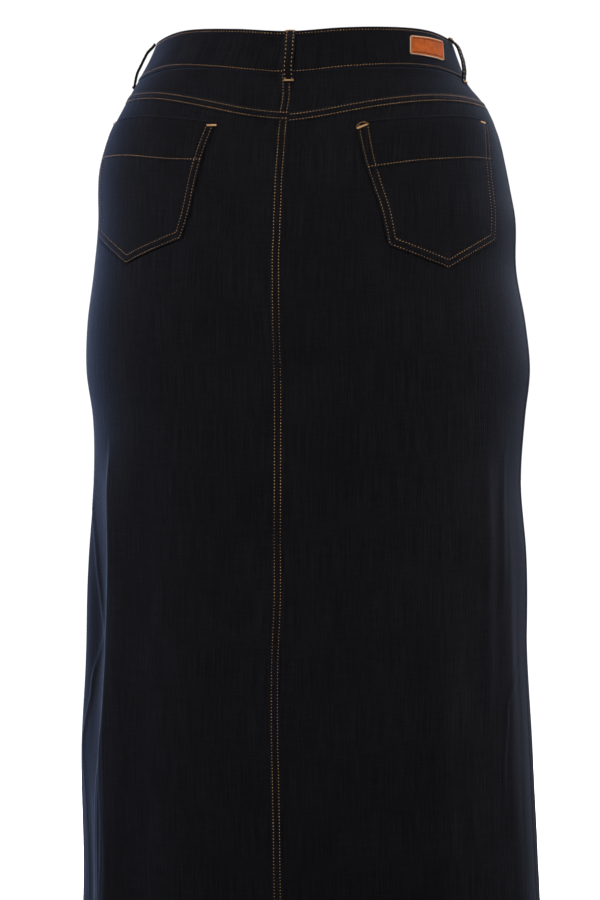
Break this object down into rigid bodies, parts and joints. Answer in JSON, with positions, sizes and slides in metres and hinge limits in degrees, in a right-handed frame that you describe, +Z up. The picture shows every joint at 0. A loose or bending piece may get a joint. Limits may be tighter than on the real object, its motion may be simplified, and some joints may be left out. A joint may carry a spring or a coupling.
{
  "type": "denim skirt",
  "caption": "Long straight denim skirt in its worn form, with waistband, V back yoke, patch pockets, belt loops, leather patch, fly and shank button.",
  "frame": {"origin": "centre of the waist opening, halfway up the waistband", "axes": "+Z up towards the waist edge, -Y the back of the garment, +X the wearer's right"},
  "size_m": [0.5153, 0.3172, 0.9926],
  "materials": {
    "denim": "matte",
    "leather": "satin",
    "brass": "satin"
  },
  "bodies": {
    "root": {"waistband": "denim", "yoke_left": "denim", "yoke_right": "denim", "back_panel_left": "denim", "back_panel_right": "denim", "front_panel_left": "denim", "front_panel_right": "denim", "fly": "denim", "pocket_left": "denim", "pocket_right": "denim", "loop_back": "denim", "loop_side_left": "denim", "loop_side_right": "denim", "loop_front_left": "denim", "loop_front_right": "denim", "patch": "leather", "button": "brass"}
  },
  "joints": []
}
